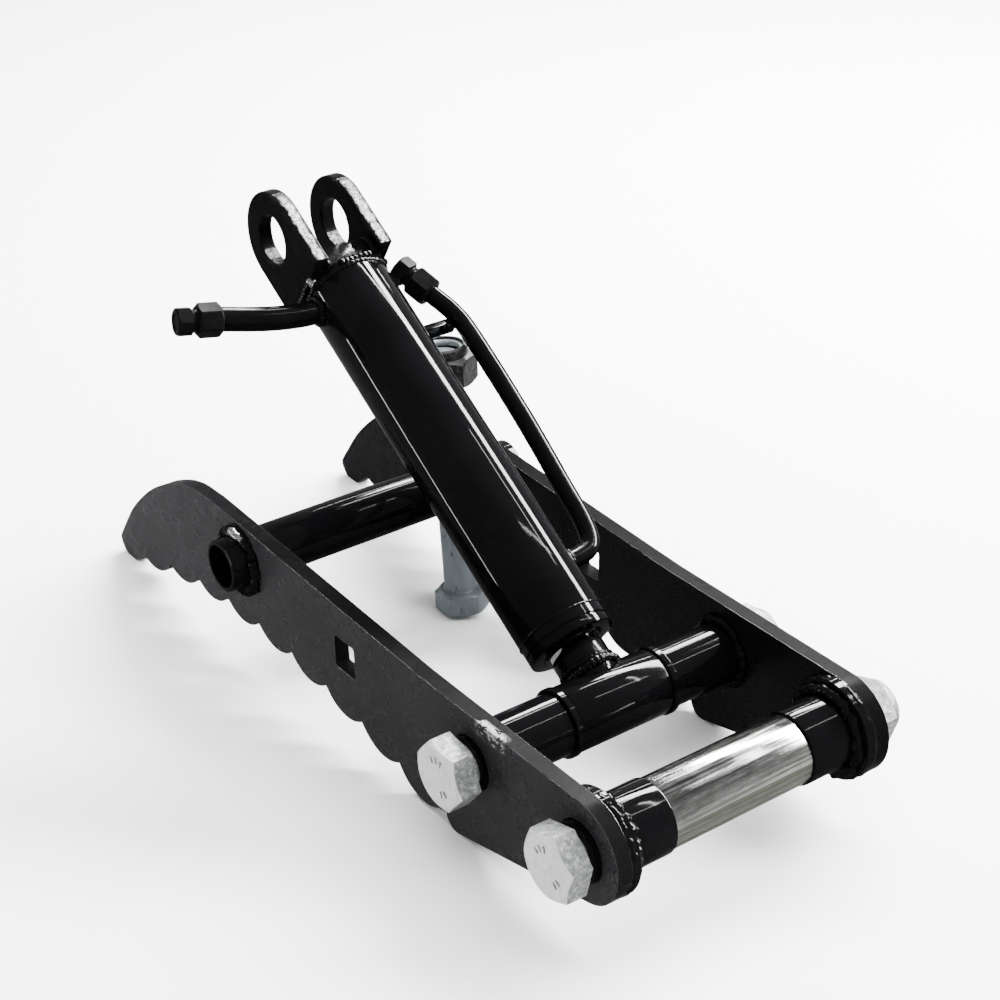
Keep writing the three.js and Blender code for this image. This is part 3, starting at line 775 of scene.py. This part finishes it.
def raised_mark(name, origin, axis, radius, angle, length, width, look, body):
    """One short raised bar on a bolt head, across the radius."""
    u, v, w = basis(axis)
    out = u * math.cos(angle) + v * math.sin(angle)
    across = w.cross(out)
    verts = []
    outline = [(-length / 2, -width / 2), (length / 2, -width / 2),
               (length / 2, width / 2), (-length / 2, width / 2)]
    for lift, shrink in ((0.6, 1.0), (-0.25, 0.8)):
        for a, b in outline:
            verts.append(origin + (out * (radius + a * shrink) + across * b * shrink
                                   + w * lift) / 1000)
    faces = [(0, 1, 2, 3), (7, 6, 5, 4)]
    faces += [(i, (i + 1) % 4, 4 + (i + 1) % 4, 4 + i) for i in range(4)]
    make(name, verts, faces, look, body, "zinc", 30, 0.12)


def reach_along_x(node):
    """Where a CAD node starts along x, and how long it is."""
    low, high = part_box(node)
    return (low[0] - middle_x) * 1000, (high[0] - low[0]) * 1000


# Bolt, nut, body, y, and how far the hexagon is turned.
PIN_BOLTS = [("pivot_bolt", "pivot_nut", "pivot_pin", PIVOT_Y, math.radians(15)),
             ("rod_pin_bolt", "rod_pin_nut", "rod_pin", 0.0, math.radians(40))]
MARK_ANGLES = (0.35, 0.75, 1.15, 3.3, 3.7)
MARK_RADIUS, MARK_LENGTH, MARK_WIDTH = 8.2, 3.4, 1.0
for bolt, nut, body, y, turned in PIN_BOLTS:
    start, length = reach_along_x(bolt)
    hex_bolt(bolt, P(start, y, 0), length, zinc, body, turned)
    for k, around in enumerate(MARK_ANGLES):
        raised_mark(f"{bolt}_mark_{k}", P(start, y, 0), X, MARK_RADIUS, around + turned,
                    MARK_LENGTH, MARK_WIDTH, zinc, body)
    begin, tall = reach_along_x(nut)
    rings = [(10.2, 0.6), (10.8, 0), (BOLT_FACE, 0), ("hex", 0, 1), ("hex", tall * 0.66, -1),
             (13.4, tall * 0.69), (13.2, tall - 2.4), (12.4, tall - 0.8), (11.4, tall),
             (10.2, tall)]
    shell = hex_piece(f"{nut}_shape", P(begin, y, 0), X, rings, zinc, body, "zinc", BOLT_FLATS,
                      turned, BOLT_FACE)
    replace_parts(shell, nut)

# The prop bolt stands on its head and leans a little towards the tip.
PROP_X, PROP_Y = 36.8, 168
PROP_LEAN = math.radians(4.5)
PROP_FLATS, PROP_FACE, PROP_SHANK = 25, 11.8, 9.0
PROP_PLAIN, PROP_LENGTH = 104, 145
PROP_NUT_AT = 129
PROP_NUT_FLATS, PROP_NUT_FACE = 30, 14.3
prop_axis = Vector((0, math.sin(PROP_LEAN), math.cos(PROP_LEAN)))
head_lift = PROP_FLATS / math.sqrt(3) * math.sin(PROP_LEAN) / 1000
prop_foot = P(PROP_X, PROP_Y, FLOOR) + Vector((0, 0, head_lift))
rings = [(0.001, 0.4), (9.0, 0.4), (9.6, 0), (PROP_FACE, 0), ("hex", 0, 1), ("hex", 11.2, 0),
         (12.0, 11.9), (11.4, 12.5), (9.9, 12.5), (PROP_SHANK, 13.4), (PROP_SHANK, PROP_PLAIN)]
rings += threaded(PROP_SHANK, PROP_PLAIN + 0.4, PROP_LENGTH, 2.0, 0.9) + [(0.001, PROP_LENGTH)]
prop = hex_piece("prop_bolt_shape", prop_foot, prop_axis, rings, dull_zinc, "frame", "zinc",
                 PROP_FLATS, 0.0, PROP_FACE)
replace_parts(prop, "prop_bolt")
rings = [(9.3, 0.8), (10.2, 0), (13.4, 0), (PROP_NUT_FACE, 0.3), ("hex", 0, 1), ("hex", 15, -1),
         (13.0, 15.3), (13.0, 18.6), (12.6, 19.7), (11.8, 20.3), (10.9, 20.4), (10.4, 20.0),
         (10.2, 19.2), (11.0, 19.2), (11.0, 15.8), (9.3, 15.8)]
nut = hex_piece("prop_nut_shape", prop_foot + prop_axis * (PROP_NUT_AT / 1000), prop_axis, rings,
                olive_zinc, "frame", "zinc", PROP_NUT_FLATS, 0.0, PROP_NUT_FACE)
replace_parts(nut, "prop_nut")

# ---------------------------------------------------------------- cylinder

BARREL_R, BARREL_BORE, BARREL_START, BARREL_END = 22, 17.5, 41.3, 247
EAR_IN, EAR_OUT, EAR_S, EAR_R, EAR_HOLE, EAR_START = 14.3, 22.3, 285.5, 24.0, 12.5, 251.3
TONGUE_X = 13.9

turn("rod_neck", K(0, 0, 0), AX, [(12.6, 12), (13.3, 18), (13.3, 26.4), (12.7, 27.6),
                                  (12.55, 27.6), (12.55, 12)], paint, "rod", "gloss_black")
# Two beads round the neck: distance, bead size, radius, and how far the bead bends back
# over the rod eye at the sides.
for k, (s, size, radius, sag) in enumerate(((16.2, 2.4, 13.2, -1.6), (18.8, 1.5, 12.6, 0))):
    points = []
    for i in range(180):
        angle = 2 * math.pi * i / 180
        along = s + sag * (1 - math.sin(angle) ** 2)
        points.append(K(radius * math.cos(angle), along, radius * math.sin(angle)))
    weld(f"rod_neck_weld_{k}", points, bead_radius(size, 2.4, k), "rod", closed=True)
ring_weld("gland_weld", K(0, 41.4, 0), AX, 21.6, 0.7, "barrel", 2)
ring_weld("cap_weld", K(0, 247.1, 0), AX, 21.4, 1.5, "barrel", 4)

ear_outline = [(EAR_START, -EAR_R), *arc((EAR_S, 0), EAR_R, -math.pi / 2, math.pi / 2, 4),
               (EAR_START, EAR_R)]
ear_loops = [ear_outline, circle(EAR_S, 0, EAR_HOLE)]
for side, word in SIDES:
    x0, x1 = sorted((side * EAR_IN, side * EAR_OUT))
    ear = burnt_sheet(f"ear_{word}", ear_loops, x0, x1, K, ear_paint, "barrel", 1.1)
    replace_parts(ear, f"clevis_ear_{word}")
    for h, level in ((-1, "low"), (1, "high")):
        line_weld(f"ear_weld_end_{word}_{level}", K(side * (EAR_IN + 0.8), 252.2, h * 15),
                  K(side * (EAR_OUT - 0.6), 251.6, h * 5), 1.9, "barrel", side + h)
    # Straight beads: name, x, start (s, h), end (s, h), size, seed on the right.
    for name, x, start, end, size, seed in (
            ("in", EAR_IN - 0.4, (251.8, -16), (251.8, 16), 2.2, 1),
            ("tongue", TONGUE_X, (262.2, -16.5), (262.2, 16.5), 2.0, 2),
            ("top", TONGUE_X, (252, 17.4), (262, 17.4), 2.2, 3),
            ("out", 21.4, (250.8, -9), (250.8, 9), 2.4, 4)):
        line_weld(f"ear_weld_{name}_{word}", K(side * x, *start), K(side * x, *end), size,
                  "barrel", side * seed)

# Painted glints: bright bare-metal blobs on the weld by the near ear and on the crossbar weld.
glint_blob("ear_weld_glint", [K(-21.6, 252.0, 8.6), K(-21.2, 249.2, 9.6), K(-20.8, 247.0, 10.2)],
        bead_radius(2.5, 2.1, 5), "barrel")
glint_blob("crossbar_weld_glint",
        [P(-78.6, 189.5, 26.6), P(-80.6, 193.5, 28.6), P(-79.6, 199.5, 28.4)],
        bead_radius(2.3, 2.3, 8), "frame")
line_weld("cap_weld_blob", K(-9, 249.5, 20.6), K(9, 249.9, 20.8), 1.7, "barrel", 11)

# Port pipes: each with its path, radius, nut and plug.
BASE_PATH = [(-19, 239, 0), (-30, 239.5, 0), (-44, 242, 0), (-58, 246, 0), (-70, 250, 0),
             (-82.5, 253, 0)]
ROD_PATH = [(19, 70, 1), (29, 70.5, 1), (38, 74, 1), (42, 86, 1), (43.5, 108, 1), (46, 150, 1),
            (46.8, 200, 1), (45, 216, 1), (40.5, 228, 1), (35, 242, 1)]
PORT_NUT_FLATS, PORT_NUT_FACE, PLUG_FLATS, PLUG_FACE = 15, 7.0, 13, 6.0
WELD_ALONG_PIPE = 0.0032  # metres from the pipe's first point
for word, path, radius in (("base_port", BASE_PATH, 6.0), ("rod_port", ROD_PATH, 4.8)):
    points = smooth_path([K(*p) for p in path], 12)
    pipe = sweep(f"{word}_pipe_shape", points, radius, paint, "barrel", "gloss_black", sides=28)
    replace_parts(pipe, f"{word}_pipe")
    start, onward = K(*path[0]), (K(*path[1]) - K(*path[0])).normalized()
    ring_weld(f"{word}_weld", start + onward * WELD_ALONG_PIPE, onward, radius + 0.5, 1.4,
              "barrel", radius)
    end, outward = K(*path[-1]), (K(*path[-1]) - K(*path[-2])).normalized()
    rings = [(radius + 0.3, -13), (6.9, -13), ("hex", -12.6, 1), ("hex", -1.4, -1), (6.9, -1),
             (radius + 0.3, -1)]
    nut = hex_piece(f"{word}_nut_shape", end, outward, rings, fitting_paint, "barrel",
                    "gloss_black", PORT_NUT_FLATS, 0.3, PORT_NUT_FACE, 96)
    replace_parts(nut, f"{word}_nut")
    rings = [(0.001, 0.3), (5.6, 0.3), (5.6, 1.3), (5.9, 1.3), ("hex", 1.6, 1), ("hex", 8.9, -1),
             (5.9, 9.3), (4.4, 9.3), (3.8, 8.6), (0.001, 8.6)]
    plug = hex_piece(f"{word}_plug_shape", end, outward, rings, fitting_paint, "barrel",
                     "gloss_black", PLUG_FLATS, 0.8, PLUG_FACE, 96)
    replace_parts(plug, f"{word}_plug")
line_weld("bracket_weld_pipe", K(42.6, 210.6, 4.0), K(42.6, 213.6, -1.5), 1.7, "barrel", 6)
line_weld("bracket_weld_barrel", K(21.9, 210.4, 1.5), K(20.8, 210.4, -8), 1.5, "barrel", 7)

# ---------------------------------------------------------------- turned pieces
#
# Each stands for the CAD node of its name, with rounded edges: node, origin, axis, rings
# of (radius, distance), look, body, material slot.


def rounded(inner, outer, start, end, edge):
    """Rings of a tube whose ends are rounded outside."""
    cut = edge * 0.3
    corner = [(outer - edge, start), (outer - cut, start + cut), (outer, start + edge),
              (outer, end - edge), (outer - cut, end - cut), (outer - edge, end)]
    return [(inner, start)] + corner + [(inner, end)]


BORE = 10.4
EYE_R, EYE_BORE, EYE_HALF = 16, 12.6, 26
CROSSBAR_R, CROSSBAR_BORE, CROSSBAR_HALF = 13.5, 11.3, 89
SLEEVE_R, SLEEVE_HALF = 16.5, 38.5
GLAND = [(15.4, 31), (21.0, 31), (21.6, 31.2), (21.8, 31.8), (21.8, 35), (21.0, 35.2),
         (21.0, 36.0), (21.8, 36.2), (21.8, 41.4), (17.2, 41), (17.2, 64), (12.8, 64),
         (12.8, 35), (15.4, 35)]
PIVOT_BOSS = [(BORE, 38.8), (16.6, 38.8), (17.3, 39.1), (17.5, 39.8), (17.5, 64), (24.0, 64),
              (24.4, 64.5), (24.4, 69.4), (14, 69.4), (14, 79.6), (13.6, 80), (BORE, 80)]
ROD_BOSS = [(BORE, 30.2), (14.4, 30.2), (15, 30.8), (15, 68.7), (13, 68.7), (13, 79.1),
            (12.6, 79.5), (BORE, 79.5)]
EYE_BUSH = [(BORE, 8), (12.3, 8), (12.3, 26.3), (16.2, 26.3), (16.8, 26.9), (16.8, 29.3),
            (16.2, 29.9), (BORE, 29.9)]
turned_pieces = [
    ("barrel_tube", K(0, 0, 0), AX, rounded(BARREL_BORE, BARREL_R, BARREL_START, BARREL_END, 0.3),
     tube_paint, "barrel", "gloss_black"),
    ("tip_crossbar", P(0, CROSS_Y, CROSS_Z), X,
     rounded(CROSSBAR_BORE, CROSSBAR_R, -CROSSBAR_HALF, CROSSBAR_HALF, 0.7),
     turned_paint, "frame", "gloss_black"),
    ("pivot_sleeve", P(0, PIVOT_Y, 0), X, rounded(BORE, SLEEVE_R, -SLEEVE_HALF, SLEEVE_HALF, 0.5),
     sleeve_steel, "pivot_sleeve", "bare_steel"),
    ("rod_eye", K(0, 0, 0), X, rounded(EYE_BORE, EYE_R, -EYE_HALF, EYE_HALF, 0.8),
     turned_paint, "rod", "gloss_black"),
    ("gland", K(0, 0, 0), AX, GLAND, turned_paint, "barrel", "gloss_black"),
]
for side, word in SIDES:
    for name, centre, rings, body in (("pivot_boss", P(0, PIVOT_Y, 0), PIVOT_BOSS, "frame"),
                                      ("rod_boss", P(0, 0, 0), ROD_BOSS, "frame"),
                                      ("rod_eye_bush", P(0, 0, 0), EYE_BUSH, "rod")):
        turned_pieces.append((f"{name}_{word}", centre, X * side, rings, turned_paint, body,
                              "gloss_black"))
for name, origin, axis, rings, look, body, slot in turned_pieces:
    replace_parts(turn(f"{name}_shape", origin, axis, rings, look, body, slot, 144, 30), name)

# ---------------------------------------------------------------- CAD nodes that stay

LOOKS = {
    "prop_nut_insert": nylon, "piston_rod": chrome, "piston": iron, "piston_seal": rubber,
    "piston_wear_ring": nylon, "piston_nut": iron, "rod_wiper": paint, "rod_seal": rubber,
    "gland_o_ring": rubber, "base_cap": paint, "pipe_bracket": paint,
}
FLAT_EDGES = {"pipe_bracket": 0.5, "base_cap": 0.6}
for name, look in LOOKS.items():
    node = nodes[name]
    node.data.materials.clear()
    node.data.materials.append(look.mat)
    shade_smooth(node.data, 32)
    merge = node.modifiers.new("merge", "WELD")
    merge.merge_threshold = 1e-6
    if name in FLAT_EDGES:
        add_bevel(node, FLAT_EDGES[name], 2, 40)

# ---------------------------------------------------------------- camera, floor and light

AZIMUTH, ELEVATION, ROLL = map(math.radians, (-36.435, 29.212, -0.839))
LENS, SENSOR = 75.02, 36
SHIFT_X, SHIFT_Y = -0.0250, 0.0177
CAMERA_AT = P(-497.4, -612.2, 537.2)
right = Vector((math.cos(AZIMUTH), math.sin(AZIMUTH), 0))
back = Vector((math.sin(AZIMUTH) * math.cos(ELEVATION), -math.cos(AZIMUTH) * math.cos(ELEVATION),
               math.sin(ELEVATION)))
upward = back.cross(right)
right_rolled = right * math.cos(ROLL) + upward * math.sin(ROLL)
up_rolled = upward * math.cos(ROLL) - right * math.sin(ROLL)
camera_data = bpy.data.cameras.new("camera")
camera_data.lens = LENS
camera_data.sensor_width = SENSOR
camera_data.shift_x = SHIFT_X
camera_data.shift_y = SHIFT_Y
camera = bpy.data.objects.new("camera", camera_data)
place = Matrix((right_rolled, up_rolled, back)).transposed().to_4x4()
place.translation = CAMERA_AT
camera.matrix_world = place
bpy.context.scene.collection.objects.link(camera)
bpy.context.scene.camera = camera

# The floor, the sun and the front light are not mirrored, so that gloss paint stays black.
FLOOR_REACH = 60
corners = [(x * FLOOR_REACH, y * FLOOR_REACH, 0) for x, y in ((-1, -1), (1, -1), (1, 1), (-1, 1))]
floor_mesh = bpy.data.meshes.new("floor")
floor_mesh.from_pydata(corners, [], [(0, 1, 2, 3)])
floor = bpy.data.objects.new("floor", floor_mesh)
bpy.context.scene.collection.objects.link(floor)
floor_look = Look("floor_paper", roughness=0.9, specular=0.0)
floor_tint = floor_look.ramp(floor_look.noise(3, 2), [(0.3, (0.93, 0.93, 0.93)),
                                                      (0.7, (0.95, 0.95, 0.95))])
floor_look.put("Base Color", floor_tint)
floor_mesh.materials.append(floor_look.mat)
floor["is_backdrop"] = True
floor.visible_glossy = False

world = bpy.data.worlds.new("studio")
world.use_nodes = True
world.node_tree.nodes["Background"].inputs["Color"].default_value = (1.0, 1.0, 1.0, 1.0)
world.node_tree.nodes["Background"].inputs["Strength"].default_value = 0.38
bpy.context.scene.world = world


def strip(name, target, direction, run, distance, length, width, radiance, mirrored_in=True):
    """A long soft box that shines at the target from a direction, its length along run.
    Distance, length and width are in metres."""
    direction = direction.normalized()
    data = bpy.data.lights.new(name, "AREA")
    data.shape = "RECTANGLE"
    data.size = length
    data.size_y = width
    data.energy = radiance * length * width * math.pi
    lamp = bpy.data.objects.new(name, data)
    lamp.visible_glossy = mirrored_in
    run = (run - direction * run.dot(direction)).normalized()
    spin = Matrix((run, direction.cross(run), direction)).transposed().to_4x4()
    spin.translation = target + direction * distance
    lamp.matrix_world = spin
    bpy.context.scene.collection.objects.link(lamp)


def line_light(name, at, run, angle, length, width, radiance):
    """A strip whose mirror image runs along a cylinder through a point: the angle says how
    far round the cylinder, in degrees from the side that faces the camera."""
    to_camera = (camera.matrix_world.translation - at).normalized()
    flat = (to_camera - run * to_camera.dot(run)).normalized()
    turned = math.radians(angle)
    normal = flat * math.cos(turned) + run.cross(flat) * math.sin(turned)
    direction = normal * 2 * to_camera.dot(normal) - to_camera
    strip(name, at, direction, run, 1.5, length, width, radiance)


barrel_middle, rod_neck, root_middle = K(0, 146, 0), K(0, 24, 0), P(0, -20, 0)
line_light("strip_right", barrel_middle, AX, 47, 2.2, 0.26, 150)
line_light("strip_low", rod_neck, AX, 37, 0.55, 0.03, 90)
line_light("strip_left", barrel_middle, AX, -40, 1.9, 0.03, 90)
line_light("bar_high", root_middle, X, -50, 0.8, 0.016, 120)
line_light("bar_mid", root_middle, X, -37, 0.8, 0.03, 140)
line_light("bar_low", root_middle, X, -13, 0.8, 0.014, 90)
sky_data = bpy.data.lights.new("sky", "SUN")
sky_data.energy = 7.5
sky_data.angle = math.radians(70)
sky = bpy.data.objects.new("sky", sky_data)
sky.rotation_euler = Vector((0.15, -0.25, 1)).to_track_quat("Z", "Y").to_euler()
sky.visible_glossy = False
bpy.context.scene.collection.objects.link(sky)
strip("front_left", P(0, 0, 0), Vector((-1.0, -0.25, 0.45)), Y, 2.0, 1.6, 0.8, 1.9, False)

size = {"cad": [list(map(float, corner)) for corner in cad_box],
        "visual": [list(map(float, corner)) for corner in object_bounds()]}
